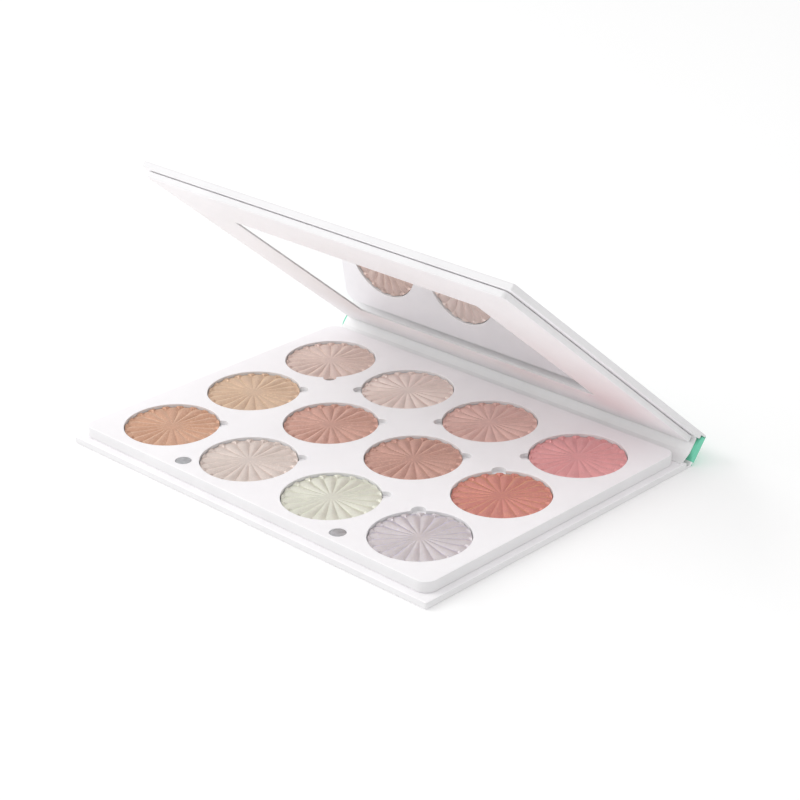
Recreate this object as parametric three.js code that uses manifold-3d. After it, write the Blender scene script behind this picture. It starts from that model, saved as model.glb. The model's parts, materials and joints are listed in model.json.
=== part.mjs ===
// A book-style palette for pressed powders: a paper-wrapped card case with twelve round pans
// that lift out of a tray, and a mirror in the lid. Two small magnets in the tray hold the lid
// shut against two steel discs behind the mirror frame.
//
// Millimetres, +Z up. The origin is the middle of the base board's underside. +X runs along the
// hinge edge and +Y points to it. The lid and spine are laid out closed, then turned open about
// the two fold lines at the case's outer corners.

import * as THREE from 'three';
import { mergeVertices } from 'three/addons/utils/BufferGeometryUtils.js';
import Module from 'manifold-3d';

const wasm = await Module();
wasm.setup();

// ---- driving dimensions ----

const BOARD = { width: 189.4, depth: 146.2, thickness: 2.7, corner: 0.8, bevel: 0.4 };
const TRAY = { width: 185, depth: 137, height: 4.5, corner: 5, bevel: 0.4, x: -0.8, y: -1.2 };
const WELL = { radius: 18.75, pitchX: 44.5, pitchY: 43, x: -0.8, y: -3 };
const NOTCH = { radius: 2.7, reach: 19.2 };
const SHEET = { width: 177, depth: 130, thickness: 0.5, clearance: 0.5 };
const PAN = { radius: 18.5, wall: 0.35, floor: 0.4, height: 2.75 };
const POWDER = { petals: 20, gap: 0.05, edge: 2.3, crown: 2.65, flute: 0.45, hub: 3, lip: 1.6 };
const FRAME = { width: 184.4, depth: 140.6, thickness: 2.6, corner: 2, x: 0, y: -1.3 };
const OPENING = { width: 126, depth: 88, corner: 0.8, x: -1.9, y: -0.4 };
const MIRROR = { thickness: 1.9, recess: 0.4 };
const DISC = { radius: 3, seat: 0.1, magnet: 2, steel: 1, sunk: 0.1 };
const SPINE = { thickness: 2.2, crown: 1.1, foot: 1.3 };
const LINER = { thickness: 0.35, gap: 0.15, endMargin: 2.5, foot: 3.3 };
const LEDGE = { depth: 3.3, thickness: 1 };

const CLOSING_GAP = 0.3; // between the shut mirror frame and the tray, and round the mirror
const GLUE_GAP = 0.25; // between the lid board and what is glued to it
const LID_OPEN = 40.5; // degrees that the spine and lid stand open, square to each other

const CLOSING_MAGNETS = [
  { side: 'left', x: -40.3, y: -63.6 },
  { side: 'right', x: 43.2, y: -63.9 },
];

const ROWS = ['front', 'middle', 'rear'];
const COLUMNS = 4;

// The corner of its well at which each pan's finger notch lies, and the colour of its powder.
const PANS = {
  front: [
    { notch: [1, 1], shade: 0xc89b81 },
    { notch: [1, 1], shade: 0xd7cac3 },
    { notch: [1, 1], shade: 0xdcdacf },
    { notch: [-1, 1], shade: 0xcec5c4 },
  ],
  middle: [
    { notch: [1, 1], shade: 0xd1b39b },
    { notch: [1, 1], shade: 0xc4998c },
    { notch: [1, 1], shade: 0xbc9388 },
    { notch: [-1, 1], shade: 0xc7867e },
  ],
  rear: [
    { notch: [1, -1], shade: 0xcbb6ae },
    { notch: [-1, -1], shade: 0xd0c1ba },
    { notch: [-1, -1], shade: 0xc7a49d },
    { notch: [-1, -1], shade: 0xd29898 },
  ],
};

// ---- sizes that follow from them ----

const HINGE_Y = BOARD.depth / 2;
const TRAY_TOP = BOARD.thickness + TRAY.height;
const FRAME_FACE = TRAY_TOP + CLOSING_GAP;
const LID_UNDERSIDE = FRAME_FACE + FRAME.thickness + GLUE_GAP;
const CASE_HEIGHT = LID_UNDERSIDE + BOARD.thickness;
const SHEET_TOP = BOARD.thickness + SHEET.thickness;
const WELL_SIDES = 48;
const PAN_SIDES = 2 * POWDER.petals;
const DISC_SIDES = 24;
const OVERCUT = 1; // how far a cutter runs past the face it opens

// ---- materials ----

function finish(colour, roughness, metalness = 0) {
  return new THREE.MeshStandardMaterial({ color: colour, roughness, metalness });
}

const CARD = finish(0xf4f2f4, 0.6);
const LINING = finish(0xe9e9e9, 0.6);
const MINT = finish(0x9ae0c8, 0.6);
const TINPLATE = finish(0xb9b9bb, 0.35, 1);
const STEEL = finish(0xa6a6a8, 0.35, 1);
const SILVERED = finish(0xf2f4f5, 0.03, 1);
const MAGNET_SHEET = finish(0x2b2b2d, 0.8);

// ---- solid helpers ----

function toSolid(geometry) {
  const bare = geometry.clone();
  bare.deleteAttribute('normal');
  bare.deleteAttribute('uv');
  const merged = mergeVertices(bare, 1e-4);
  const mesh = new wasm.Mesh({
    numProp: 3,
    vertProperties: Float32Array.from(merged.attributes.position.array),
    triVerts: Uint32Array.from(merged.index.array),
  });
  return new wasm.Manifold(mesh);
}

function toGeometry(solid) {
  const mesh = solid.getMesh();
  const geometry = new THREE.BufferGeometry();
  geometry.setAttribute('position', new THREE.BufferAttribute(mesh.vertProperties, 3));
  geometry.setIndex(new THREE.BufferAttribute(mesh.triVerts, 1));
  return geometry;
}

function cut(geometry, cutters) {
  let solid = toSolid(geometry);
  for (const cutter of cutters) {
    solid = solid.subtract(toSolid(cutter));
  }
  return toGeometry(solid);
}

function piece(name, geometry, material) {
  const mesh = new THREE.Mesh(geometry, material);
  mesh.name = name;
  return mesh;
}

// ---- plain shapes, each standing on z = 0 about its own centre ----

function roundedOutline(width, depth, corner) {
  const x = width / 2;
  const y = depth / 2;
  const outline = new THREE.Shape();
  outline.absarc(x - corner, y - corner, corner, 0, Math.PI / 2);
  outline.absarc(corner - x, y - corner, corner, Math.PI / 2, Math.PI);
  outline.absarc(corner - x, corner - y, corner, Math.PI, 1.5 * Math.PI);
  outline.absarc(x - corner, corner - y, corner, 1.5 * Math.PI, 2 * Math.PI);
  return outline;
}

function board(width, depth, height, corner, bevel) {
  const geometry = new THREE.ExtrudeGeometry(roundedOutline(width, depth, corner), {
    depth: height - 2 * bevel,
    curveSegments: 5,
    bevelThickness: bevel,
    bevelSize: bevel,
    bevelOffset: -bevel,
    bevelSegments: 2,
  });
  return geometry.translate(0, 0, bevel);
}

function block(width, depth, height) {
  return new THREE.BoxGeometry(width, depth, height).translate(0, 0, height / 2);
}

function disc(radius, height, sides = DISC_SIDES) {
  const geometry = new THREE.CylinderGeometry(radius, radius, height, sides);
  return geometry.rotateX(Math.PI / 2).translate(0, 0, height / 2);
}

// A (y, z) outline swept along the hinge, centred on x = 0.
function sweepAlongHinge(outline, length) {
  const geometry = new THREE.ExtrudeGeometry(outline, {
    depth: length,
    bevelEnabled: false,
    curveSegments: 8,
  });
  const turn = new THREE.Matrix4().makeBasis(
    new THREE.Vector3(0, 1, 0),
    new THREE.Vector3(0, 0, 1),
    new THREE.Vector3(1, 0, 0),
  );
  return geometry.applyMatrix4(turn).translate(-length / 2, 0, 0);
}

// ---- where the wells are ----

function wellCentre(row, column) {
  return {
    x: (column - (COLUMNS - 1) / 2) * WELL.pitchX + WELL.x,
    y: (row - (ROWS.length - 1) / 2) * WELL.pitchY + WELL.y,
  };
}

function eachPan(visit) {
  ROWS.forEach((rowName, row) => {
    PANS[rowName].forEach((pan, column) => {
      visit({ ...pan, ...wellCentre(row, column), label: `${rowName}_${column + 1}` });
    });
  });
}

// ---- base ----

// The rear edge steps down to a thin ledge, the spine board's seat.
function baseBoard() {
  const step = block(BOARD.width + 2 * OVERCUT, LEDGE.depth + OVERCUT, BOARD.thickness);
  step.translate(0, HINGE_Y - (LEDGE.depth - OVERCUT) / 2, LEDGE.thickness);
  const blank = board(BOARD.width, BOARD.depth, BOARD.thickness, BOARD.corner, BOARD.bevel);
  return piece('base_board', cut(blank, [step]), CARD);
}

function magneticSheet() {
  const sheet = block(SHEET.width, SHEET.depth, SHEET.thickness);
  sheet.translate(TRAY.x, TRAY.y, BOARD.thickness);
  return piece('magnetic_sheet', sheet, MAGNET_SHEET);
}

function wellCutters() {
  const cutters = [];
  const depth = TRAY.height + 2 * OVERCUT;
  eachPan(({ x, y, notch }) => {
    const reach = NOTCH.reach * Math.SQRT1_2;
    cutters.push(disc(WELL.radius, depth, WELL_SIDES).translate(x, y, -OVERCUT));
    const bite = disc(NOTCH.radius, depth, DISC_SIDES);
    cutters.push(bite.translate(x + notch[0] * reach, y + notch[1] * reach, -OVERCUT));
  });
  return cutters;
}

function magnetPockets() {
  const depth = DISC.magnet + DISC.sunk + DISC.seat;
  return CLOSING_MAGNETS.map(({ x, y }) => {
    const pocket = disc(DISC.radius + DISC.seat, depth + OVERCUT);
    return pocket.translate(x, y, TRAY.height - depth);
  });
}

function sheetRecess() {
  const width = SHEET.width + 2 * SHEET.clearance;
  const depth = SHEET.depth + 2 * SHEET.clearance;
  const recess = block(width, depth, SHEET.thickness + DISC.seat + OVERCUT);
  return recess.translate(TRAY.x, TRAY.y, -OVERCUT);
}

function tray() {
  const blank = board(TRAY.width, TRAY.depth, TRAY.height, TRAY.corner, TRAY.bevel);
  blank.translate(TRAY.x, TRAY.y, 0);
  const cutters = [...wellCutters(), ...magnetPockets(), sheetRecess()];
  const mesh = piece('tray', cut(blank, cutters), CARD);
  mesh.position.z = BOARD.thickness;
  return mesh;
}

function trayMagnet({ side, x, y }) {
  const mesh = piece(`tray_magnet_${side}`, disc(DISC.radius, DISC.magnet), STEEL);
  mesh.position.set(x, y, TRAY_TOP - DISC.sunk - DISC.magnet);
  return mesh;
}

// ---- pans ----

function panCup() {
  const inner = PAN.radius - PAN.wall;
  const profile = [
    new THREE.Vector2(0, 0),
    new THREE.Vector2(PAN.radius, 0),
    new THREE.Vector2(PAN.radius, PAN.height),
    new THREE.Vector2(inner, PAN.height),
    new THREE.Vector2(inner, PAN.floor),
    new THREE.Vector2(0, PAN.floor),
  ];
  return new THREE.LatheGeometry(profile, PAN_SIDES).rotateX(Math.PI / 2);
}

// A pressed cake with a sunburst of petals: its crown dips along the valleys between them.
function powderCake() {
  const radius = PAN.radius - PAN.wall - POWDER.gap;
  const profile = [
    new THREE.Vector2(0, 0),
    new THREE.Vector2(radius, 0),
    new THREE.Vector2(radius, POWDER.edge),
    new THREE.Vector2(radius - POWDER.lip, POWDER.crown),
    new THREE.Vector2(POWDER.hub, POWDER.crown),
    new THREE.Vector2(0, POWDER.crown),
  ];
  const cake = new THREE.LatheGeometry(profile, PAN_SIDES).rotateX(Math.PI / 2);
  const points = cake.attributes.position;
  for (let i = 0; i < points.count; i += 1) {
    const x = points.getX(i);
    const y = points.getY(i);
    const outside = Math.hypot(x, y) > POWDER.hub + POWDER.gap;
    if (outside && points.getZ(i) > POWDER.edge + POWDER.gap) {
      const valley = Math.abs(Math.cos((Math.atan2(y, x) * POWDER.petals) / 2));
      points.setZ(i, points.getZ(i) - POWDER.flute * valley);
    }
  }
  return cake;
}

function pans() {
  const meshes = [];
  eachPan(({ x, y, shade, label }) => {
    const cup = piece(`pan_${label}`, panCup(), TINPLATE);
    cup.position.set(x, y, SHEET_TOP);
    const cake = piece(`powder_${label}`, powderCake(), finish(shade, 0.5));
    cake.position.set(x, y, SHEET_TOP + PAN.floor);
    meshes.push(cup, cake);
  });
  return meshes;
}

// ---- spine, laid out closed: the outer face is at the hinge edge ----

function spineBoard() {
  const inner = HINGE_Y - SPINE.thickness;
  const top = CASE_HEIGHT - SPINE.foot;
  const outline = new THREE.Shape();
  outline.moveTo(HINGE_Y, SPINE.foot);
  outline.lineTo(HINGE_Y, top);
  outline.lineTo(inner, top);
  outline.quadraticCurveTo(inner - 2 * SPINE.crown, CASE_HEIGHT / 2, inner, SPINE.foot);
  outline.closePath();
  return piece('spine_board', sweepAlongHinge(outline, BOARD.width), MINT);
}

function spineLiner() {
  const face = HINGE_Y - SPINE.thickness - SPINE.crown - LINER.gap;
  const height = CASE_HEIGHT - 2 * LINER.foot;
  const panel = block(BOARD.width - 2 * LINER.endMargin, LINER.thickness, height);
  panel.translate(0, face - LINER.thickness / 2, LINER.foot);
  return piece('spine_liner', panel, LINING);
}

// ---- lid, laid out closed over the tray ----

function lidBoard() {
  const step = block(BOARD.width + 2 * OVERCUT, LEDGE.depth + OVERCUT, BOARD.thickness);
  step.translate(0, HINGE_Y - (LEDGE.depth - OVERCUT) / 2, -LEDGE.thickness);
  const blank = board(BOARD.width, BOARD.depth, BOARD.thickness, BOARD.corner, BOARD.bevel);
  const mesh = piece('lid_board', cut(blank, [step]), CARD);
  mesh.position.z = LID_UNDERSIDE;
  return mesh;
}

function mirrorFrame() {
  const blank = board(FRAME.width, FRAME.depth, FRAME.thickness, FRAME.corner, BOARD.bevel);
  blank.translate(FRAME.x, FRAME.y, 0);
  const outline = roundedOutline(OPENING.width, OPENING.depth, OPENING.corner);
  const depth = FRAME.thickness + 2 * OVERCUT;
  const opening = new THREE.ExtrudeGeometry(outline, { depth, bevelEnabled: false, curveSegments: 3 });
  opening.translate(OPENING.x, OPENING.y, -OVERCUT);
  const pocketDepth = DISC.steel + DISC.sunk + DISC.seat;
  const pockets = CLOSING_MAGNETS.map(({ x, y }) => {
    const pocket = disc(DISC.radius + DISC.seat, pocketDepth + OVERCUT);
    return pocket.translate(x, y, FRAME.thickness - pocketDepth);
  });
  const mesh = piece('mirror_frame', cut(blank, [opening, ...pockets]), CARD);
  mesh.position.z = FRAME_FACE;
  return mesh;
}

function lidDisc({ side, x, y }) {
  const mesh = piece(`lid_steel_disc_${side}`, disc(DISC.radius, DISC.steel), STEEL);
  mesh.position.set(x, y, FRAME_FACE + FRAME.thickness - DISC.sunk - DISC.steel);
  return mesh;
}

function mirror() {
  const width = OPENING.width - 2 * CLOSING_GAP;
  const depth = OPENING.depth - 2 * CLOSING_GAP;
  const glass = board(width, depth, MIRROR.thickness, OPENING.corner, BOARD.bevel / 2);
  const mesh = piece('mirror', glass, SILVERED);
  mesh.position.set(OPENING.x, OPENING.y, FRAME_FACE + MIRROR.recess);
  return mesh;
}

// ---- assembly ----

// A group whose contents keep their closed places, turned open about a fold line at (y, z).
function foldAt(y, z, degrees, contents) {
  const closed = new THREE.Group();
  closed.position.set(0, -y, -z);
  closed.add(...contents);
  const turned = new THREE.Group();
  turned.position.set(0, y, z);
  turned.rotation.x = -THREE.MathUtils.degToRad(degrees);
  turned.add(closed);
  return turned;
}

const lid = new THREE.Group();
lid.add(lidBoard(), mirrorFrame(), mirror(), ...CLOSING_MAGNETS.map(lidDisc));

const spineAndLid = foldAt(HINGE_Y, 0, LID_OPEN, [spineBoard(), spineLiner(), lid]);

const palette = new THREE.Group();
palette.add(baseBoard(), magneticSheet(), tray(), ...CLOSING_MAGNETS.map(trayMagnet));
palette.add(...pans(), spineAndLid);

export default palette;
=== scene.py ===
import json
import math

import bmesh
import bpy
from mathutils import Matrix, Vector
from mathutils.geometry import delaunay_2d_cdt


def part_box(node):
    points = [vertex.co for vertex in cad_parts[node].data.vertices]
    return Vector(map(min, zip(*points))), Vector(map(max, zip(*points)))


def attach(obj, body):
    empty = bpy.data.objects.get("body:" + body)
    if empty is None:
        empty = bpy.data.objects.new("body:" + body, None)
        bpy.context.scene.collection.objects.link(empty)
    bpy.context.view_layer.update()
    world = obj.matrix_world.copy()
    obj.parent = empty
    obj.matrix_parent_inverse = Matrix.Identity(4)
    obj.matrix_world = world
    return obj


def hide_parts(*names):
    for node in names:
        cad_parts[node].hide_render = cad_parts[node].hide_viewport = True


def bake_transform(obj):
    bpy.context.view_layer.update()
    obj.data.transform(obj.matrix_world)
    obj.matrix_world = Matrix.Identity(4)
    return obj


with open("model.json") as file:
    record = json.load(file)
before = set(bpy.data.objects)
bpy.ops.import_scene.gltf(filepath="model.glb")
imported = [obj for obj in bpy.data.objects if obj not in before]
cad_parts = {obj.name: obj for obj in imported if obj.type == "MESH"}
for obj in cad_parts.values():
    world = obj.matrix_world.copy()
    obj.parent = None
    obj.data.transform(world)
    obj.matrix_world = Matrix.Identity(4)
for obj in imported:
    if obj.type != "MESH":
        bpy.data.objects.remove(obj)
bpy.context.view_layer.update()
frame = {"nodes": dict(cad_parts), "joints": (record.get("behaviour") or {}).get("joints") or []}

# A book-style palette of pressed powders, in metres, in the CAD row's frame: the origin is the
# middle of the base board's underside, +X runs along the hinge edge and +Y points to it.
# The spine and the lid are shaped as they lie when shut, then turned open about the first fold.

MM = 0.001
ROWS = ("front", "middle", "rear")
COLUMNS = (1, 2, 3, 4)
LABELS = [f"{row}_{column}" for row in ROWS for column in COLUMNS]

# ---- shapes, in millimetres where a name ends in _MM ----

BOARD_CORNER_MM = 0.8
BOARD_EDGE_MM = 0.5  # radius of the paper-wrapped edges
LEDGE_DEPTH_MM = 3.3
LEDGE_THICKNESS_MM = 1.0
LEDGE_LAP_MM = 0.6  # how far the ledge runs into the board in front of it
LEDGE_CORNER_MM = 0.9
LEDGE_EDGE_MM = 0.42
TRAY_CORNER_MM = 5.0
TRAY_EDGE_MM = 0.45
WELL_RADIUS_MM = 18.75
WELL_LIP_MM = 0.12
NOTCH_RADIUS_MM = 2.7
NOTCH_REACH_MM = 19.2
NOTCH_DEPTH_MM = 1.9  # how far the notch's shelf lies below the tray's top
SHELF_FOOT_MM = 0.8  # how far the shelf's underside lies above the tray's
FRAME_CORNER_MM = 2.0
OPENING_CORNER_MM = 0.8
OPENING_GAP_MM = 0.3  # all round the mirror
OPENING_LIP_MM = 0.2
MIRROR_CORNER_MM = 0.5
MIRROR_EDGE_MM = 0.08
POCKET_GAP_MM = 0.1
DISC_EDGE_MM = 0.25
PAN_WALL_MM = 0.35
PAN_FLOOR_MM = 0.4
PAN_FOOT_MM = 0.7  # radius of the cup's drawn lower edge
SPINE_EDGE_MM = 0.45
SPINE_END_MM = 0.25
SPINE_CROWN_MM = 1.1
LINER_THICKNESS_MM = 0.3
LINER_MARGIN_MM = 1.3  # from the lining's end to the spine's
FOLD_THICKNESS_MM = 0.22
FOLD_MARGIN_MM = 0.15
FOLD_LAP_MM = 0.7  # how far the mint paper runs on over the spine before it is straight
TIP_MM = 0.45  # from a board's face to where the mint paper starts
BEND_MM = 0.75  # from a board's face to where the mint paper starts to bend
GUSSET_MARGIN_MM = 0.1
GUSSET_FRONT_MM = (1.2, 1.3)  # behind the spine's inner face, below and above
GUSSET_BACK_MM = 0.3  # in from its outer face
GUSSET_LEDGE_MM = (0.03, -0.1)  # above the base's ledge, in front and behind
GUSSET_FOOT_MM = 0.05  # above the spine's lower edge
SWEEP_STEPS = 24

# How the lining runs: along the base, up the spine's inner face, and back under the lid.
LINING_FOOT_MM = 0.6  # from the spine's lining solid's lower end to the bend
LINING_HEAD_MM = 0.4  # and from its upper end
LINING_START_MM = 0.1  # behind the tray
LINING_FLAT_MM = 1.3  # behind the tray, where it leaves the base
LINING_LIFT_MM = (0.03, 0.05)  # above the base at those two places
LINING_UNDER_LID_MM = ((0.25, 0.3), (0.9, 0.04))  # (from the spine's face, below the lid)
LINING_LAP = 0.06  # how much of the spine's height each bend runs on over

# The sunburst pressed into each powder.
PETALS = 20
PETAL_STEPS = 12
HUB_RADIUS_MM = 2.8
PETAL_DEPTH_MM = 0.68
PETAL_ROUND_MM = 14.6  # where a petal's outer end starts to round off
PETAL_TIP_MM = 17.8
CAKE_RADIUS_MM = 18.42  # the pressed face spreads out over the pan's rim
CAKE_RISE_MM = 0.3  # how far the face stands above its CAD solid
CAKE_EDGE_MM = 0.1

# The corner of its well at which each pan's finger notch lies.
NOTCHES = {
    "front_1": (1, 1), "front_2": (1, 1), "front_3": (1, 1), "front_4": (-1, 1),
    "middle_1": (1, 1), "middle_2": (1, 1), "middle_3": (1, 1), "middle_4": (-1, 1),
    "rear_1": (1, -1), "rear_2": (-1, -1), "rear_3": (-1, -1), "rear_4": (-1, -1),
}

# ---- colours, sRGB 0 to 255 ----

CARD_WHITE = (251, 249, 251)
# The boards' steep faces: the same white paper, greyed as painted shade.
SIDE_SHADE_WHITE = (232, 231, 232)
SIDE_SHADE_SLOPE = 0.6  # faces steeper than this count as a board's sides, which get the painted shade
LINING_WHITE = (245, 245, 245)
MINT = (116, 214, 181)
MAGNET_GREY = (196, 196, 199)
TIN_GREY = (176, 174, 172)
SHEET_BLACK = (40, 40, 43)
MIRROR_SILVER = (246, 248, 249)

# Each powder: its tone, the colour of its flecks, and how the sunburst is turned, in degrees.
# The rear row's tones are painted about a tenth lighter, the middle row's about a twentieth, and
# front_3's and front_4's a little: painted light that makes up for the shade in the scene, most of
# it under the lid.
POWDERS = {
    "front_1": {"tone": (204, 156, 129), "fleck": (255, 226, 196), "turn": 4},
    "front_2": {"tone": (217, 203, 195), "fleck": (255, 236, 226), "turn": 11},
    "front_3": {"tone": (224, 223, 210), "fleck": (244, 250, 226), "turn": 2},
    "front_4": {"tone": (212, 204, 205), "fleck": (222, 218, 246), "turn": 7},
    "middle_1": {"tone": (212, 180, 154), "fleck": (255, 230, 196), "turn": 15},
    "middle_2": {"tone": (205, 158, 143), "fleck": (255, 216, 200), "turn": 5},
    "middle_3": {"tone": (202, 156, 143), "fleck": (255, 216, 196), "turn": 13},
    "middle_4": {"tone": (212, 139, 129), "fleck": (255, 206, 150), "turn": 8},
    "rear_1": {"tone": (215, 191, 182), "fleck": (255, 232, 216), "turn": 9},
    "rear_2": {"tone": (235, 217, 209), "fleck": (255, 226, 220), "turn": 3},
    "rear_3": {"tone": (225, 184, 175), "fleck": (255, 220, 208), "turn": 16},
    "rear_4": {"tone": (234, 166, 166), "fleck": (255, 206, 206), "turn": 6},
}

# Their shimmer: real flecks, and a sheen painted into the colour of faces seen edge-on.
POWDER_METAL = 0.3
POWDER_ROUGHNESS = 0.36
FLECK_START = 0.8  # how rare the flecks are, from 0 to 1
FLECK_SHARE = 0.4
PAINTED_SHEEN_START = 0.62  # how edge-on a face is when its painted sheen starts to show
PAINTED_SHEEN_FULL = 0.8
PAINTED_SHEEN_SHARE = 0.95

# ---- camera and light ----

CAMERA_PLACE_MM = (528.07, -524.69, 367.69)
CAMERA_AZIMUTH = 44.53
CAMERA_ELEVATION = 24.85
CAMERA_ROLL = -0.84
CAMERA_LENS = 97.05
SKY_BRIGHT = 0.86  # towards the light's side
SKY_DIM = 0.82  # away from it
SKY_SIDE = (-1.0, -0.3, 0.0)  # the light's side
KEY_POWER = 6.5
KEY_SIZE = 0.9
KEY_PLACE = (-0.85, -0.65, 0.75)
FLOOR_SIZE = 6.0
FLOOR_CLOUD_MM = 400
FLOOR_DROP = 0.0001  # below the underside, so that the two faces don't meet
FLOOR_GLOW = 0.08


# ---- where things are ----

def fold_turn():
    """Turns a spine or lid shape from its shut layout to where it is at rest."""
    spine_hinge = next(j for j in frame["joints"] if j["name"] == "spine_hinge")
    pivot = Vector(spine_hinge["pos_m"])
    angle = -math.radians(spine_hinge["range_deg"][0])
    turn = Matrix.Rotation(angle, 4, Vector(spine_hinge["axis"]))
    return Matrix.Translation(pivot) @ turn @ Matrix.Translation(-pivot)


OPENED = fold_turn()
SHUT = OPENED.inverted()


def shut_box(node):
    """Lowest and highest corner of a spine or lid node in the shut layout."""
    points = [SHUT @ v.co for v in frame["nodes"][node].data.vertices]
    lowest = Vector([min(p[axis] for p in points) for axis in range(3)])
    highest = Vector([max(p[axis] for p in points) for axis in range(3)])
    return lowest, highest


def centre_of(corners):
    return (corners[0] + corners[1]) / 2


# ---- outlines in plan: each is a function of how far the outline is grown ----

def rounded_box(corners, front_radius, rear_radius, steps=8):
    """The outline of a box with rounded corners, the same at every height."""
    low, high = corners

    def ring(grow=0.0):
        points = []
        spans = (
            (high.x, high.y, rear_radius, 0),
            (low.x, high.y, rear_radius, 90),
            (low.x, low.y, front_radius, 180),
            (high.x, low.y, front_radius, 270),
        )
        for x, y, radius, start in spans:
            side_x = 1 if x == high.x else -1
            side_y = 1 if y == high.y else -1
            centre_x = x - side_x * radius
            centre_y = y - side_y * radius
            reach = max(radius + grow, 1e-5)
            extra = min(radius + grow, 0.0)
            for step in range(steps + 1):
                angle = math.radians(start + 90 * step / steps)
                points.append((
                    centre_x + side_x * extra + reach * math.cos(angle),
                    centre_y + side_y * extra + reach * math.sin(angle),
                ))
        return points

    return ring


def round_hole(x, y, radius, steps=48):
    def ring(grow=0.0):
        reach = radius + grow
        turns = [2 * math.pi * step / steps for step in range(steps)]
        return [(x + reach * math.cos(a), y + reach * math.sin(a)) for a in turns]

    return ring


def notch_angles(well, bite, reach):
    """Where a well and its notch meet: half the notch as seen from each one's middle."""
    from_well = math.acos((well**2 + reach**2 - bite**2) / (2 * well * reach))
    from_bite = math.acos((bite**2 + reach**2 - well**2) / (2 * bite * reach))
    return from_well, from_bite


def notched_well(x, y, notch, steps=120, notch_steps=14):
    """A round well with a smaller round bite out of its wall, for a fingertip."""
    middle = math.atan2(notch[1], notch[0])

    def ring(grow=0.0):
        well = WELL_RADIUS_MM * MM + grow
        bite = NOTCH_RADIUS_MM * MM + grow
        reach = NOTCH_REACH_MM * MM
        meet, bite_meet = notch_angles(well, bite, reach)
        points = []
        for step in range(steps + 1):
            angle = middle + meet + (2 * math.pi - 2 * meet) * step / steps
            points.append((x + well * math.cos(angle), y + well * math.sin(angle)))
        bite_x = x + reach * math.cos(middle)
        bite_y = y + reach * math.sin(middle)
        sweep = 2 * (math.pi - bite_meet)
        for step in range(1, notch_steps):
            angle = middle - sweep / 2 + sweep * step / notch_steps
            points.append((bite_x + bite * math.cos(angle), bite_y + bite * math.sin(angle)))
        return points

    return ring


def notch_shelf(x, y, notch, steps=14):
    """The outline of the shelf in a notch: the part of the bite that is outside the well."""
    middle = math.atan2(notch[1], notch[0])
    well = WELL_RADIUS_MM * MM
    bite = NOTCH_RADIUS_MM * MM
    reach = NOTCH_REACH_MM * MM
    meet, bite_meet = notch_angles(well, bite, reach)
    bite_x = x + reach * math.cos(middle)
    bite_y = y + reach * math.sin(middle)
    points = []
    for step in range(steps + 1):
        angle = middle + (math.pi - bite_meet) * (2 * step / steps - 1)
        points.append((bite_x + bite * math.cos(angle), bite_y + bite * math.sin(angle)))
    for step in range(1, steps):
        angle = middle + meet * (1 - 2 * step / steps)
        points.append((x + well * math.cos(angle), y + well * math.sin(angle)))
    return points


# ---- mesh building ----

def ring_at(bm, points, z):
    return [bm.verts.new((x, y, z)) for x, y in points]


def bridge(bm, lower, upper):
    count = len(lower)
    for i in range(count):
        j = (i + 1) % count
        bm.faces.new((lower[i], lower[j], upper[j], upper[i]))


def inside(point, loop):
    """Whether a flat point is inside a closed loop, by counting crossings."""
    crossings = 0
    for i, first in enumerate(loop):
        second = loop[(i + 1) % len(loop)]
        if (first.y > point.y) == (second.y > point.y):
            continue
        x = first.x + (second.x - first.x) * (point.y - first.y) / (second.y - first.y)
        crossings += x > point.x
    return crossings % 2 == 1


def cap(bm, outer, holes=()):
    """Fills the flat region inside a ring and outside the holes."""
    loops = [outer, *holes]
    verts = [v for loop in loops for v in loop]
    flat_loops = [[Vector((v.co.x, v.co.y)) for v in loop] for loop in loops]
    flat = [point for loop in flat_loops for point in loop]
    owner = [i for i, loop in enumerate(loops) for _ in loop]
    edges = []
    start = 0
    for loop in loops:
        count = len(loop)
        edges += [(start + i, start + (i + 1) % count) for i in range(count)]
        start += count
    _, _, faces, origins, _, _ = delaunay_2d_cdt(flat, edges, [], 1, 1e-9)
    for face in faces:
        corners = [origins[index][0] for index in face]
        owners = {owner[i] for i in corners}
        middle = (flat[corners[0]] + flat[corners[1]] + flat[corners[2]]) / 3
        if len(owners) == 1 and 0 not in owners and inside(middle, flat_loops[owners.pop()]):
            continue
        bm.faces.new([verts[i] for i in corners])


def edge_rounding(radius, steps=4):
    """(how far in, how far down) along a quarter round, from the flat face to the side."""
    angles = [math.pi / 2 * step / steps for step in range(steps + 1)]
    return [(radius * (1 - math.sin(a)), radius * (1 - math.cos(a))) for a in angles]


def plate(outline, z_low, z_high, edge, holes=(), lip=0.0, pockets=(), pocket_depth=0.0):
    """A flat board with a rounded rim, through holes with softened lips, and blind pockets."""
    bm = bmesh.new()
    rim = edge_rounding(edge)
    top = [ring_at(bm, outline(-inset), z_high - drop) for inset, drop in rim]
    bottom = [ring_at(bm, outline(-inset), z_low + drop) for inset, drop in rim]
    for upper, lower in zip(top, top[1:]):
        bridge(bm, lower, upper)
    for lower, upper in zip(bottom, bottom[1:]):
        bridge(bm, lower, upper)
    bridge(bm, bottom[-1], top[-1])
    top_holes = []
    bottom_holes = []
    lip_rounding = edge_rounding(lip, 3)
    for hole in holes:
        rings = [ring_at(bm, hole(inset), z_high - drop) for inset, drop in lip_rounding]
        rings += [ring_at(bm, hole(inset), z_low + drop) for inset, drop in reversed(lip_rounding)]
        for upper, lower in zip(rings, rings[1:]):
            bridge(bm, upper, lower)
        top_holes.append(rings[0])
        bottom_holes.append(rings[-1])
    for pocket in pockets:
        mouth = ring_at(bm, pocket(lip), z_high)
        neck = ring_at(bm, pocket(), z_high - lip)
        foot = ring_at(bm, pocket(), z_high - pocket_depth)
        bridge(bm, mouth, neck)
        bridge(bm, neck, foot)
        cap(bm, foot)
        top_holes.append(mouth)
    cap(bm, top[0], top_holes)
    cap(bm, bottom[0], bottom_holes)
    bmesh.ops.recalc_face_normals(bm, faces=bm.faces)
    return bm


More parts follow.
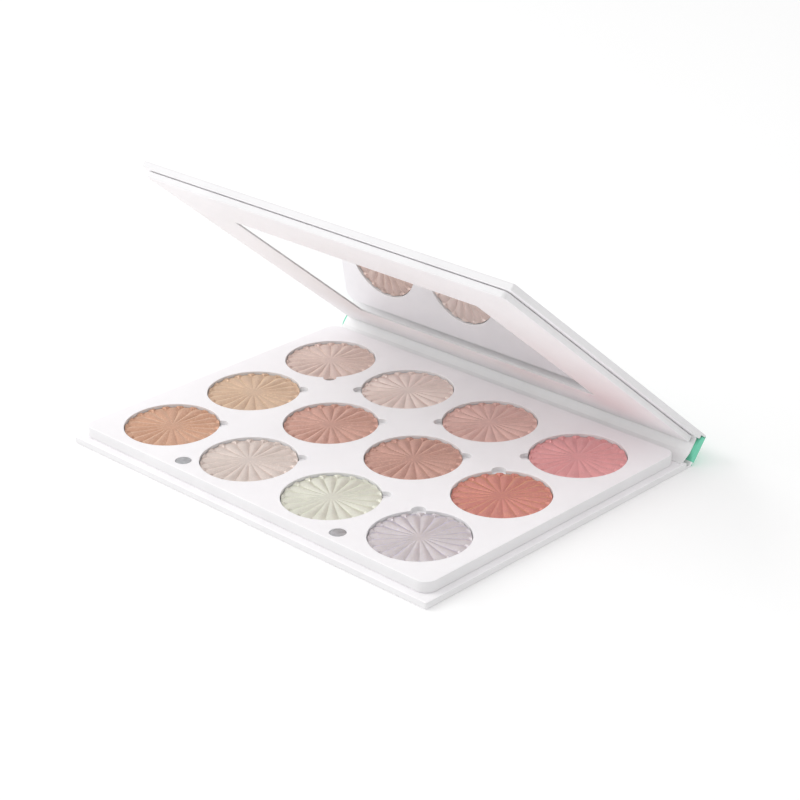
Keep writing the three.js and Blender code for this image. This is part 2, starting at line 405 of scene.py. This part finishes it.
def lathe(profile, centre, steps):
    """Turns an (radius, z) outline about an upright axis. Radius 0 closes to a point."""
    bm = bmesh.new()
    rings = []
    for radius, z in profile:
        if radius == 0:
            rings.append([bm.verts.new((centre.x, centre.y, z))])
            continue
        turns = [2 * math.pi * step / steps for step in range(steps)]
        rings.append([
            bm.verts.new((centre.x + radius * math.cos(a), centre.y + radius * math.sin(a), z))
            for a in turns
        ])
    for first, second in zip(rings, rings[1:]):
        for i in range(steps):
            j = (i + 1) % steps
            corners = [first[i % len(first)], first[j % len(first)]]
            corners += [second[j % len(second)], second[i % len(second)]]
            bm.faces.new(list(dict.fromkeys(corners)))
    bmesh.ops.recalc_face_normals(bm, faces=bm.faces)
    return bm


def sweep(profile, low_x, high_x, end_round=0.0, steps=1):
    """Sweeps a closed (y, z) outline along X."""
    bm = bmesh.new()
    rings = []
    for step in range(steps + 1):
        x = low_x + (high_x - low_x) * step / steps
        rings.append([bm.verts.new((x, y, z)) for y, z in profile])
    for first, second in zip(rings, rings[1:]):
        bridge(bm, first, second)
    ends = [bm.faces.new(rings[0]), bm.faces.new(rings[-1])]
    bmesh.ops.recalc_face_normals(bm, faces=bm.faces)
    if end_round:
        edges = [e for face in ends for e in face.edges]
        bmesh.ops.bevel(bm, geom=edges, offset=end_round, segments=3, profile=0.5, affect="EDGES")
    return bm


def finish_piece(name, bm, material, sharp_angle=40, turn=None):
    """Makes an object of a bmesh, with smooth faces and its sharper edges kept crisp."""
    mesh = bpy.data.meshes.new(name)
    if turn is not None:
        bm.transform(turn)
    for face in bm.faces:
        face.smooth = True
    limit = math.radians(sharp_angle)
    for edge in bm.edges:
        edge.smooth = not (edge.is_manifold and edge.calc_face_angle(0) > limit)
    bm.to_mesh(mesh)
    bm.free()
    mesh.materials.append(material)
    piece = bpy.data.objects.new(name, mesh)
    bpy.context.scene.collection.objects.link(piece)
    return piece


def paint_side_shade(piece, up):
    """Paints shade on a white board's steep faces, its sides and the walls of its holes and
    pockets: the same paper, a little greyer.
    """
    piece.data.materials.append(CARD_SIDE_SHADE)
    for face in piece.data.polygons:
        if abs(face.normal.dot(up)) < SIDE_SHADE_SLOPE:
            face.material_index = 1


def weigh_normals(piece):
    """Keeps wide flat faces flat where they meet rounded edges."""
    modifier = piece.modifiers.new("flat_faces", "WEIGHTED_NORMAL")
    modifier.keep_sharp = True
    modifier.weight = 80
    return piece


def unite(piece, other):
    """Joins another closed mesh into a piece, and removes the other."""
    modifier = piece.modifiers.new("unite", "BOOLEAN")
    modifier.operation = "UNION"
    modifier.solver = "EXACT"
    modifier.object = other
    graph = bpy.context.evaluated_depsgraph_get()
    joined = bpy.data.meshes.new_from_object(piece.evaluated_get(graph))
    piece.modifiers.clear()
    piece.data = joined
    bpy.data.objects.remove(other)
    return piece


# ---- materials ----

def linear(colour):
    """An sRGB colour, 0 to 255, as the linear RGBA that a shader takes."""
    shares = [channel / 255 for channel in colour]
    return [s / 12.92 if s <= 0.04045 else ((s + 0.055) / 1.055) ** 2.4 for s in shares] + [1.0]


def scaled(colour, share):
    return [min(channel * share, 255) for channel in colour]


class Finish:
    """A node material: one Principled shader, and the nodes that feed it."""

    def __init__(self, name):
        self.material = bpy.data.materials.new(name)
        self.material.use_nodes = True
        self.tree = self.material.node_tree
        self.shader = self.tree.nodes["Principled BSDF"]
        self.place = self.node("ShaderNodeTexCoord").outputs["Object"]

    def node(self, kind, inputs=None, **settings):
        made = self.tree.nodes.new(kind)
        for key, value in settings.items():
            setattr(made, key, value)
        for key, value in (inputs or {}).items():
            self.set(made, key, value)
        return made

    def set(self, node, key, value):
        if isinstance(value, bpy.types.NodeSocket):
            self.tree.links.new(value, node.inputs[key])
        else:
            node.inputs[key].default_value = value

    def shade(self, **inputs):
        for key, value in inputs.items():
            self.set(self.shader, key.replace("_", " "), value)

    def noise(self, size_mm, detail=4, roughness=0.6):
        settings = {"Vector": self.place, "Scale": 1 / (size_mm * MM)}
        settings.update({"Detail": detail, "Roughness": roughness})
        return self.node("ShaderNodeTexNoise", settings).outputs["Fac"]

    def spread(self, value, low, high, to_low=0.0, to_high=1.0):
        """Maps a value's range low to high onto another, and clamps it."""
        inputs = {"Value": value, "From Min": low, "From Max": high}
        inputs.update({"To Min": to_low, "To Max": to_high})
        return self.node("ShaderNodeMapRange", inputs).outputs["Result"]

    def mix(self, share, first, second):
        mixer = self.node("ShaderNodeMix", data_type="RGBA")
        self.set(mixer, 0, share)
        self.set(mixer, 6, first)
        self.set(mixer, 7, second)
        return mixer.outputs[2]

    def bump(self, height, depth_mm, strength=1.0, under=None):
        inputs = {"Height": height, "Distance": depth_mm * MM, "Strength": strength}
        if under is not None:
            inputs["Normal"] = under
        return self.node("ShaderNodeBump", inputs).outputs["Normal"]


def paper_finish(name, colour, roughness=0.55, tooth_mm=0.012):
    """Matt laminated paper over board: a faint cloudiness, and a fine tooth."""
    finish = Finish(name)
    cloud = finish.spread(finish.noise(22, 3), 0.35, 0.65)
    tooth = finish.noise(0.5, 5, 0.65)
    waviness = finish.noise(9, 2, 0.5)
    pale = linear(colour)
    deep = linear(scaled(colour, 0.985))
    finish.shade(Base_Color=finish.mix(cloud, deep, pale))
    finish.shade(Roughness=finish.spread(tooth, 0.3, 0.7, roughness - 0.06, roughness + 0.06))
    low = finish.bump(waviness, 0.02, 0.5)
    finish.shade(Normal=finish.bump(tooth, tooth_mm, 0.6, low))
    return finish.material


def metal_finish(name, colour, roughness):
    """Plated steel: a satin grain with faint tarnish."""
    finish = Finish(name)
    tarnish = finish.spread(finish.noise(2.2, 4), 0.35, 0.7)
    grain = finish.noise(0.35, 3, 0.7)
    finish.shade(Base_Color=finish.mix(tarnish, linear(colour), linear(scaled(colour, 0.88))))
    finish.shade(Metallic=1.0)
    finish.shade(Roughness=finish.spread(grain, 0.3, 0.7, roughness - 0.08, roughness + 0.1))
    finish.shade(Normal=finish.bump(grain, 0.006, 0.5))
    return finish.material


def mirror_finish(name):
    finish = Finish(name)
    smear = finish.noise(14, 3, 0.5)
    smeared = linear(scaled(MIRROR_SILVER, 0.99))
    finish.shade(Base_Color=finish.mix(smear, linear(MIRROR_SILVER), smeared))
    finish.shade(Metallic=1.0)
    finish.shade(Roughness=finish.spread(smear, 0.4, 0.75, 0.0, 0.02))
    return finish.material


def sheet_finish(name):
    """Flexible magnet: dark, matt and slightly speckled."""
    finish = Finish(name)
    speck = finish.noise(0.6, 5, 0.7)
    speckled = linear(scaled(SHEET_BLACK, 1.5))
    finish.shade(Base_Color=finish.mix(speck, linear(SHEET_BLACK), speckled))
    finish.shade(Roughness=finish.spread(speck, 0.3, 0.7, 0.7, 0.9))
    finish.shade(Normal=finish.bump(speck, 0.03, 0.6))
    return finish.material


def powder_finish(name, tone, fleck):
    """Pressed shimmer powder: a satin, cloudy face with fine specks, and a sheen painted into the
    colour where a face is seen edge-on.
    """
    finish = Finish(name)
    cloud = finish.spread(finish.noise(4.5, 4, 0.6), 0.3, 0.7)
    grain = finish.noise(0.3, 4, 0.7)
    cells = finish.node("ShaderNodeTexVoronoi", {"Vector": finish.place, "Scale": 1 / (0.3 * MM)})
    chance = finish.node("ShaderNodeSeparateColor", {"Color": cells.outputs["Color"]})
    specks = finish.spread(chance.outputs["Red"], FLECK_START, 1.0, 0.0, FLECK_SHARE)
    # Painted sheen: the more edge-on a face is seen, the more its colour turns to the fleck colour
    # and the more metallic it gets, broken up by noise.
    facing = finish.node("ShaderNodeLayerWeight", {"Blend": 0.5}).outputs["Facing"]
    grazed = finish.spread(facing, PAINTED_SHEEN_START, PAINTED_SHEEN_FULL)
    painted_sheen_breakup = finish.spread(finish.noise(0.45, 2, 0.6), 0.4, 0.62, 0.15, PAINTED_SHEEN_SHARE)
    painted_sheen = finish.node("ShaderNodeMath", {0: grazed, 1: painted_sheen_breakup}, operation="MULTIPLY")
    both = finish.node("ShaderNodeMath", {0: specks, 1: painted_sheen.outputs[0]}, operation="MAXIMUM")
    specks_and_painted_sheen = both.outputs[0]
    body = finish.mix(cloud, linear(scaled(tone, 0.97)), linear(scaled(tone, 1.02)))
    finish.shade(Base_Color=finish.mix(specks_and_painted_sheen, body, linear(fleck)))
    finish.shade(Metallic=finish.spread(specks_and_painted_sheen, 0.0, 1.0, POWDER_METAL, 0.9))
    rough = finish.spread(grain, 0.3, 0.7, POWDER_ROUGHNESS, POWDER_ROUGHNESS + 0.12)
    finish.shade(Roughness=rough)
    finish.shade(IOR=1.6)
    finish.shade(Normal=finish.bump(grain, 0.02, 0.5))
    return finish.material


CARD = paper_finish("card_paper", CARD_WHITE)
# The card paper again, greyed: painted shade for the boards' steep faces.
CARD_SIDE_SHADE = paper_finish("card_side_painted_shade", SIDE_SHADE_WHITE)
LINING = paper_finish("lining_paper", LINING_WHITE, 0.6)
MINT_PAPER = paper_finish("mint_paper", MINT, 0.5)
DISC_METAL = metal_finish("disc_metal", MAGNET_GREY, 0.46)
TIN = metal_finish("tinplate", TIN_GREY, 0.32)
SILVER = mirror_finish("mirror_silver")
SHEET = sheet_finish("magnet_sheet")


# ---- boards ----

def board(name, corners, ledge_below, turn):
    """A wrapped board with the thin ledge that runs on under or over the spine."""
    low, high = corners
    step_y = high.y - LEDGE_DEPTH_MM * MM
    edge = BOARD_EDGE_MM * MM
    main_corners = (low, Vector((high.x, step_y, high.z)))
    main = plate(rounded_box(main_corners, BOARD_CORNER_MM * MM, edge), low.z, high.z, edge)
    body = finish_piece(name, main, CARD)
    lap = Vector((low.x, step_y - LEDGE_LAP_MM * MM, low.z))
    thickness = LEDGE_THICKNESS_MM * MM
    z_low = low.z if ledge_below else high.z - thickness
    outline = rounded_box((lap, high), edge / 4, LEDGE_CORNER_MM * MM)
    shelf = plate(outline, z_low, z_low + thickness, LEDGE_EDGE_MM * MM)
    ledge = finish_piece(name + "_ledge", shelf, CARD)
    unite(body, ledge)
    paint_side_shade(body, Vector((0, 0, 1)))
    body.data.transform(turn)
    return weigh_normals(body)


base_wrap = board("base_board_wrap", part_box("base_board"), True, Matrix.Identity(4))
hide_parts("base_board")
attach(base_wrap, "base")

lid_wrap = board("lid_board_wrap", shut_box("lid_board"), False, OPENED)
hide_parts("lid_board")
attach(lid_wrap, "lid")


# ---- tray, with its wells and closing magnets ----

def tray_piece():
    low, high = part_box("tray")
    wells = []
    for label in LABELS:
        centre = centre_of(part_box(f"pan_{label}"))
        wells.append(notched_well(centre.x, centre.y, NOTCHES[label]))
    pockets = []
    for side in ("left", "right"):
        disc_low, disc_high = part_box(f"tray_magnet_{side}")
        centre = centre_of((disc_low, disc_high))
        radius = (disc_high.x - disc_low.x) / 2 + POCKET_GAP_MM * MM
        pockets.append(round_hole(centre.x, centre.y, radius))
        depth = high.z - disc_low.z + POCKET_GAP_MM * MM
    outline = rounded_box((low, high), TRAY_CORNER_MM * MM, TRAY_CORNER_MM * MM, 14)
    shell = plate(
        outline, low.z, high.z, TRAY_EDGE_MM * MM, wells, WELL_LIP_MM * MM, pockets, depth
    )
    for label in LABELS:
        centre = centre_of(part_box(f"pan_{label}"))
        points = notch_shelf(centre.x, centre.y, NOTCHES[label])
        upper = ring_at(shell, points, high.z - NOTCH_DEPTH_MM * MM)
        lower = ring_at(shell, points, low.z + SHELF_FOOT_MM * MM)
        shell.faces.new(upper)
        shell.faces.new(lower)
        bridge(shell, lower, upper)
    bmesh.ops.recalc_face_normals(shell, faces=shell.faces)
    piece = finish_piece("tray_shell", shell, CARD)
    paint_side_shade(piece, Vector((0, 0, 1)))
    return weigh_normals(piece)


tray = tray_piece()
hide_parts("tray")
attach(tray, "base")


def disc_piece(name, corners, turn):
    """A small plated disc with a softened edge."""
    low, high = corners
    radius = (high.x - low.x) / 2
    rounding = edge_rounding(DISC_EDGE_MM * MM, 3)
    profile = [(0, low.z)]
    profile += [(radius - inset, low.z + drop) for inset, drop in rounding]
    profile += [(radius - inset, high.z - drop) for inset, drop in reversed(rounding)]
    profile += [(0, high.z)]
    bm = lathe(profile, centre_of(corners), 48)
    return finish_piece(name, bm, DISC_METAL, turn=turn)


for side in ("left", "right"):
    magnet_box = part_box(f"tray_magnet_{side}")
    magnet = disc_piece(f"tray_magnet_disc_{side}", magnet_box, Matrix.Identity(4))
    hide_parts(f"tray_magnet_{side}")
    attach(magnet, "base")
    keeper_box = shut_box(f"lid_steel_disc_{side}")
    keeper = disc_piece(f"lid_keeper_disc_{side}", keeper_box, OPENED)
    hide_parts(f"lid_steel_disc_{side}")
    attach(keeper, "lid")


# ---- pans and powders ----

def pan_piece(label):
    """A drawn tinplate cup with a rounded foot and a rolled rim."""
    low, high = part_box(f"pan_{label}")
    radius = (high.x - low.x) / 2
    wall = PAN_WALL_MM * MM
    rounding = edge_rounding(PAN_FOOT_MM * MM, 5)
    profile = [(0, low.z)]
    profile += [(radius - inset, low.z + drop) for inset, drop in rounding]
    lip = wall / 2
    for step in range(9):
        angle = math.pi * step / 8
        profile.append((radius - lip + lip * math.cos(angle), high.z - lip + lip * math.sin(angle)))
    floor = low.z + PAN_FLOOR_MM * MM
    profile += [(radius - wall, floor), (0, floor)]
    bm = lathe(profile, centre_of((low, high)), 120)
    return finish_piece(f"pan_cup_{label}", bm, TIN)


def smooth(value, start, end):
    share = min(max((value - start) / (end - start), 0.0), 1.0)
    return share * share * (3 - 2 * share)


def relief(radius, phase):
    """Height of the pressed face below its crown, in millimetres.

    Phase runs from -1 to 1 across a petal. Petals are convex between V valleys, fade out
    towards a plain hub, and end in rounded tips short of the rim.
    """
    deep = PETAL_DEPTH_MM * min(max(radius - HUB_RADIUS_MM, 0.0) / 10.0, 1.0) ** 0.8
    end = max(radius - PETAL_ROUND_MM, 0.0) / (PETAL_TIP_MM - PETAL_ROUND_MM)
    outward = abs(phase) ** 1.8 + 0.6 * end**2.4
    rim = smooth(outward, 1.0, 1.3) if end > 0 else 0.0
    return deep * (rim - min(outward, 1.0))


def powder_radii(outer):
    """Ring radii in millimetres: wide apart at the hub, close together at the petals' tips."""
    inner = [0.8, 1.6, 2.2, 2.8, 3.4, 4.2, 5.0, 6.0, 7.0, 8.0, 9.0, 10.0, 11.0, 12.0, 13.0, 14.0]
    tips = [14.6 + 0.25 * step for step in range(15)]
    return inner + tips + [outer - CAKE_EDGE_MM, outer]


def powder_piece(label, material):
    low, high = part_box(f"powder_{label}")
    centre = centre_of((low, high))
    outer = CAKE_RADIUS_MM
    crown = high.z + CAKE_RISE_MM * MM
    turn = math.radians(POWDERS[label]["turn"])
    steps = PETALS * PETAL_STEPS
    bm = bmesh.new()
    top = bm.verts.new((centre.x, centre.y, crown))
    rings = []
    for radius in powder_radii(outer):
        ring = []
        for step in range(steps):
            angle = 2 * math.pi * step / steps + turn
            phase = 2 * ((step % PETAL_STEPS) / PETAL_STEPS) - 1
            x = centre.x + radius * MM * math.cos(angle)
            y = centre.y + radius * MM * math.sin(angle)
            z = crown + relief(min(radius, outer - CAKE_EDGE_MM), phase) * MM
            if radius == outer:
                z -= CAKE_EDGE_MM * MM
            ring.append(bm.verts.new((x, y, z)))
        rings.append(ring)
    for i in range(steps):
        bm.faces.new((top, rings[0][i], rings[0][(i + 1) % steps]))
    for inner, wider in zip(rings, rings[1:]):
        bridge(bm, wider, inner)
    pan_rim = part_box(f"pan_{label}")[1].z
    skirt = [bm.verts.new((v.co.x, v.co.y, pan_rim)) for v in rings[-1]]
    bridge(bm, skirt, rings[-1])
    inset = (high.x - low.x) / 2 / (outer * MM)
    neck = []
    for v in skirt:
        x = centre.x + (v.co.x - centre.x) * inset
        y = centre.y + (v.co.y - centre.y) * inset
        neck.append(bm.verts.new((x, y, pan_rim)))
    bridge(bm, neck, skirt)
    foot = [bm.verts.new((v.co.x, v.co.y, low.z)) for v in neck]
    bridge(bm, foot, neck)
    bm.faces.new(list(reversed(foot)))
    bmesh.ops.recalc_face_normals(bm, faces=bm.faces)
    return finish_piece(f"powder_cake_{label}", bm, material, 50)


for label in LABELS:
    shade = POWDERS[label]
    pan = pan_piece(label)
    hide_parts(f"pan_{label}")
    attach(pan, f"refill_{label}")
    finish = powder_finish(f"powder_{label}_shimmer", shade["tone"], shade["fleck"])
    cake = powder_piece(label, finish)
    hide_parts(f"powder_{label}")
    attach(cake, f"refill_{label}")


# ---- lid: mirror frame and mirror ----

def frame_piece():
    low, high = shut_box("mirror_frame")
    mirror_low, mirror_high = shut_box("mirror")
    gap = Vector((OPENING_GAP_MM * MM, OPENING_GAP_MM * MM, 0))
    corner = OPENING_CORNER_MM * MM
    opening = rounded_box((mirror_low - gap, mirror_high + gap), corner, corner)
    corner = FRAME_CORNER_MM * MM
    outline = rounded_box((low, high), corner, corner)
    pockets = []
    for side in ("left", "right"):
        disc_low, disc_high = shut_box(f"lid_steel_disc_{side}")
        centre = centre_of((disc_low, disc_high))
        radius = (disc_high.x - disc_low.x) / 2 + POCKET_GAP_MM * MM
        pockets.append(round_hole(centre.x, centre.y, radius))
        depth = high.z - disc_low.z + POCKET_GAP_MM * MM
    edge = TRAY_EDGE_MM * MM
    lip = OPENING_LIP_MM * MM
    shell = plate(outline, low.z, high.z, edge, [opening], lip, pockets, depth)
    piece = finish_piece("mirror_frame_shell", shell, CARD, turn=OPENED)
    paint_side_shade(piece, OPENED.to_3x3() @ Vector((0, 0, 1)))
    return weigh_normals(piece)


mirror_frame = frame_piece()
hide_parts("mirror_frame")
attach(mirror_frame, "lid")


def mirror_piece():
    low, high = shut_box("mirror")
    corner = MIRROR_CORNER_MM * MM
    outline = rounded_box((low, high), corner, corner, 4)
    glass = plate(outline, low.z, high.z, MIRROR_EDGE_MM * MM)
    return weigh_normals(finish_piece("mirror_glass", glass, SILVER, turn=OPENED))


mirror = mirror_piece()
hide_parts("mirror")
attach(mirror, "lid")


# ---- spine ----

def corner_round(centre, radius, start, steps=5):
    """A quarter round in (y, z), anticlockwise from start degrees."""
    turns = [math.radians(start + 90 * step / steps) for step in range(steps + 1)]
    return [(centre[0] + radius * math.cos(a), centre[1] + radius * math.sin(a)) for a in turns]


def spine_piece():
    low, high = shut_box("spine_board")
    radius = SPINE_EDGE_MM * MM
    inner = low.y + SPINE_CROWN_MM * MM
    profile = corner_round((high.y - radius, low.z + radius), radius, 270)
    profile += corner_round((high.y - radius, high.z - radius), radius, 0)
    profile += corner_round((inner + radius, high.z - radius), radius, 90)
    for step in range(1, 16):
        share = step / 16
        bulge = 4 * share * (1 - share) * SPINE_CROWN_MM * MM
        z = high.z - radius - (high.z - low.z - 2 * radius) * share
        profile.append((inner - bulge, z))
    profile += corner_round((inner + radius, low.z + radius), radius, 180)
    bm = sweep(profile, low.x, high.x, SPINE_END_MM * MM, SWEEP_STEPS)
    return finish_piece("spine_core", bm, MINT_PAPER, turn=OPENED)


spine = spine_piece()
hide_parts("spine_board")
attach(spine, "spine")


def shut_point(y, z):
    return Vector((0, y, z))


def curve_between(points, steps):
    """A smooth (y, z) line through points, by Catmull-Rom."""
    line = []
    count = len(points)
    for i in range(count - 1):
        before = points[max(i - 1, 0)]
        first, second = points[i], points[i + 1]
        after = points[min(i + 2, count - 1)]
        for step in range(steps):
            t = step / steps
            line.append(
                0.5 * (
                    2 * first + (second - before) * t
                    + (2 * before - 5 * first + 4 * second - after) * t**2
                    + (3 * first - before - 3 * second + after) * t**3
                )
            )
    line.append(points[-1])
    return line


def ribbon(line, thickness, half_width):
    """A strip of paper that follows a (y, z) line, to the line's left, along the hinge."""
    profile = [(p.y, p.z) for p in line]
    other = []
    for i, point in enumerate(line):
        along = line[min(i + 1, len(line) - 1)] - line[max(i - 1, 0)]
        across = Vector((0, -along.z, along.y)).normalized() * thickness
        other.append((point.y + across.y, point.z + across.z))
    return sweep(profile + list(reversed(other)), -half_width, half_width, 0, SWEEP_STEPS)


def liner_pieces():
    """The white lining: flat on the base, over the spine's inner face, and under the lid."""
    low, high = shut_box("spine_liner")
    base_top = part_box("base_board")[1].z
    lid_low = shut_box("lid_board")[0].z
    tray_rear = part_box("tray")[1].y
    thickness = LINER_THICKNESS_MM * MM
    face = high.y
    half_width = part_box("spine_board")[1].x - LINER_MARGIN_MM * MM
    foot = OPENED @ shut_point(face, low.z + LINING_FOOT_MM * MM)
    crown = OPENED @ shut_point(face, high.z - LINING_HEAD_MM * MM)
    lap = (crown - foot) * LINING_LAP
    start_lift, flat_lift = LINING_LIFT_MM
    start = shut_point(tray_rear + LINING_START_MM * MM, base_top + start_lift * MM)
    flat_end = shut_point(tray_rear + LINING_FLAT_MM * MM, base_top + flat_lift * MM)
    lower_line = curve_between([start, flat_end, foot, foot + lap], 10)
    lower = finish_piece(
        "liner_fold_base", ribbon(lower_line, thickness, half_width), LINING
    )
    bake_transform(lower)
    panel_line = [foot + (crown - foot) * step / 12 for step in range(13)]
    panel = finish_piece("liner_panel", ribbon(panel_line, thickness, half_width), LINING)
    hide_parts("spine_liner")
    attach(panel, "spine")
    under = [shut_point(face - y * MM, lid_low - z * MM) for y, z in LINING_UNDER_LID_MM]
    under.append(shut_point(tray_rear + LINING_START_MM * MM, lid_low - start_lift * MM))
    bend = [OPENED @ p for p in under]
    upper_line = curve_between([crown - lap, crown, *bend], 10)
    upper = finish_piece(
        "liner_fold_lid", ribbon(upper_line, thickness, half_width), LINING
    )
    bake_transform(upper)


def outer_folds():
    """Mint paper that runs on over each outer fold, from a board's ledge to the spine."""
    low, high = shut_box("spine_board")
    case_top = shut_box("lid_board")[1].z
    half_width = high.x - FOLD_MARGIN_MM * MM
    thickness = FOLD_THICKNESS_MM * MM
    lap = FOLD_LAP_MM * MM
    board_tip = shut_point(high.y, TIP_MM * MM)
    near_fold = shut_point(high.y, BEND_MM * MM)
    on_spine = OPENED @ shut_point(high.y, low.z + lap)
    past = OPENED @ shut_point(high.y, low.z + 2 * lap)
    line = curve_between([board_tip, near_fold, on_spine, past], 8)
    strip = ribbon(line, thickness, half_width)
    lower = finish_piece("mint_fold_base", strip, MINT_PAPER)
    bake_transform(lower)
    points = [
        OPENED @ shut_point(high.y, high.z - 2 * lap),
        OPENED @ shut_point(high.y, high.z - lap),
        OPENED @ shut_point(high.y, case_top - BEND_MM * MM),
        OPENED @ shut_point(high.y, case_top - TIP_MM * MM),
    ]
    line = curve_between(points, 8)
    strip = ribbon(line, thickness, half_width)
    upper = finish_piece("mint_fold_lid", strip, MINT_PAPER)
    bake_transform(upper)


def foot_gusset():
    """White paper folded into the wedge between the base's ledge and the spine's foot."""
    low, high = shut_box("spine_board")
    half_width = high.x - GUSSET_MARGIN_MM * MM
    ledge_top = LEDGE_THICKNESS_MM * MM
    front_low, front_high = GUSSET_FRONT_MM
    ledge_front, ledge_back = GUSSET_LEDGE_MM
    back = high.y - GUSSET_BACK_MM * MM
    foot = low.z + GUSSET_FOOT_MM * MM
    outline = [
        shut_point(low.y + front_low * MM, ledge_top + ledge_front * MM),
        shut_point(back, ledge_top + ledge_back * MM),
        OPENED @ shut_point(back, foot),
        OPENED @ shut_point(low.y + front_high * MM, foot),
    ]
    bm = sweep([(p.y, p.z) for p in outline], -half_width, half_width, 0, SWEEP_STEPS)
    gusset = finish_piece("foot_gusset", bm, LINING)
    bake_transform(gusset)


liner_pieces()
outer_folds()
foot_gusset()

sheet_node = frame["nodes"]["magnetic_sheet"]
sheet_node.data.materials.clear()
sheet_node.data.materials.append(SHEET)


# ---- floor, light and camera ----

def make_floor():
    bm = bmesh.new()
    bmesh.ops.create_grid(bm, x_segments=8, y_segments=8, size=FLOOR_SIZE / 2)
    mesh = bpy.data.meshes.new("floor")
    bm.to_mesh(mesh)
    bm.free()
    finish = Finish("floor_paint")
    cloud = finish.noise(FLOOR_CLOUD_MM, 2)
    finish.shade(Base_Color=finish.mix(cloud, linear((250, 250, 250)), linear((248, 248, 248))))
    finish.shade(Roughness=0.9)
    finish.shade(Emission_Color=(1, 1, 1, 1))
    finish.shade(Emission_Strength=FLOOR_GLOW)
    mesh.materials.append(finish.material)
    floor = bpy.data.objects.new("floor", mesh)
    floor.location.z = -FLOOR_DROP
    bpy.context.scene.collection.objects.link(floor)


def make_light():
    world = bpy.data.worlds.new("studio")
    world.use_nodes = True
    background = world.node_tree.nodes["Background"]
    background.inputs["Color"].default_value = (1, 1, 1, 1)
    nodes = world.node_tree.nodes
    links = world.node_tree.links
    direction = nodes.new("ShaderNodeTexCoord")
    side = nodes.new("ShaderNodeVectorMath")
    side.operation = "DOT_PRODUCT"
    side.inputs[1].default_value = Vector(SKY_SIDE).normalized()
    strength = nodes.new("ShaderNodeMapRange")
    strength.inputs["From Min"].default_value = -1.0
    strength.inputs["To Min"].default_value = SKY_DIM
    strength.inputs["To Max"].default_value = SKY_BRIGHT
    links.new(direction.outputs["Generated"], side.inputs[0])
    links.new(side.outputs["Value"], strength.inputs["Value"])
    links.new(strength.outputs["Result"], background.inputs["Strength"])
    bpy.context.scene.world = world
    data = bpy.data.lights.new("key", "AREA")
    data.energy = KEY_POWER
    data.size = KEY_SIZE
    key = bpy.data.objects.new("key", data)
    key.location = KEY_PLACE
    key.rotation_euler = (-Vector(KEY_PLACE)).to_track_quat("-Z", "Y").to_euler()
    bpy.context.scene.collection.objects.link(key)


def make_camera():
    data = bpy.data.cameras.new("camera")
    data.lens = CAMERA_LENS
    data.clip_start = 0.05
    data.clip_end = 20
    camera = bpy.data.objects.new("camera", data)
    azimuth = math.radians(CAMERA_AZIMUTH)
    elevation = math.radians(CAMERA_ELEVATION)
    forward = Vector((
        -math.sin(azimuth) * math.cos(elevation),
        math.cos(azimuth) * math.cos(elevation),
        -math.sin(elevation),
    ))
    aim = forward.to_track_quat("-Z", "Y").to_matrix().to_4x4()
    roll = Matrix.Rotation(math.radians(CAMERA_ROLL), 4, "Z")
    camera.matrix_world = Matrix.Translation(Vector(CAMERA_PLACE_MM) * MM) @ aim @ roll
    bpy.context.scene.collection.objects.link(camera)
    bpy.context.scene.camera = camera


make_floor()
make_light()
make_camera()
bpy.context.scene.view_settings.view_transform = "Standard"
